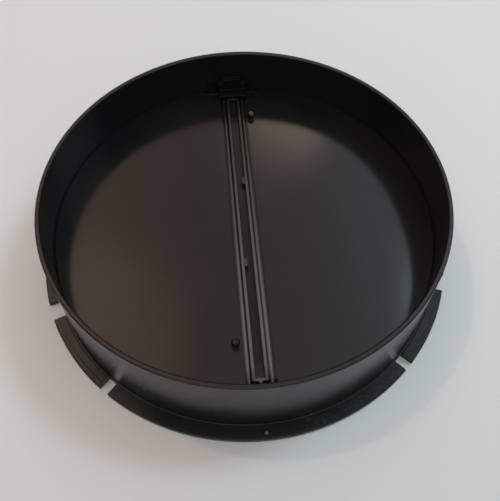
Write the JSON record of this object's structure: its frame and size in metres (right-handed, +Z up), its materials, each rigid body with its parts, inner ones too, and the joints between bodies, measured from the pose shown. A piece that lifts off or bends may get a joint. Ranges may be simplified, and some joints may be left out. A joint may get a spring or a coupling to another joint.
{
  "type": "duct collar with backdraft flaps",
  "caption": "Round plastic duct collar: an open spigot on a slitted flange, with half-round backdraft flaps hinged along a central crossbar.",
  "frame": {"origin": "centre of the underside of the base flange", "axes": "+Z up along the spigot axis towards the duct, Y along the crossbar and the hinge lines, -Y towards the index pip"},
  "size_m": [0.16, 0.16, 0.037],
  "materials": {
    "collar_plastic": "satin black moulded plastic",
    "flap_plastic": "satin black moulded plastic, slightly smoother than the collar"
  },
  "bodies": {
    "collar": {"collar": "collar_plastic"},
    "right_flap": {"right_flap": "flap_plastic"},
    "left_flap": {"left_flap": "flap_plastic"}
  },
  "joints": [
    {"name": "right_flap_hinge", "type": "hinge", "parent": "collar", "child": "right_flap", "pos_m": [0.0039, 0, 0.017], "axis": [0, -1, 0], "range_deg": [0, 80]},
    {"name": "left_flap_hinge", "type": "hinge", "parent": "collar", "child": "left_flap", "pos_m": [-0.0039, 0, 0.017], "axis": [0, 1, 0], "range_deg": [0, 80]}
  ]
}
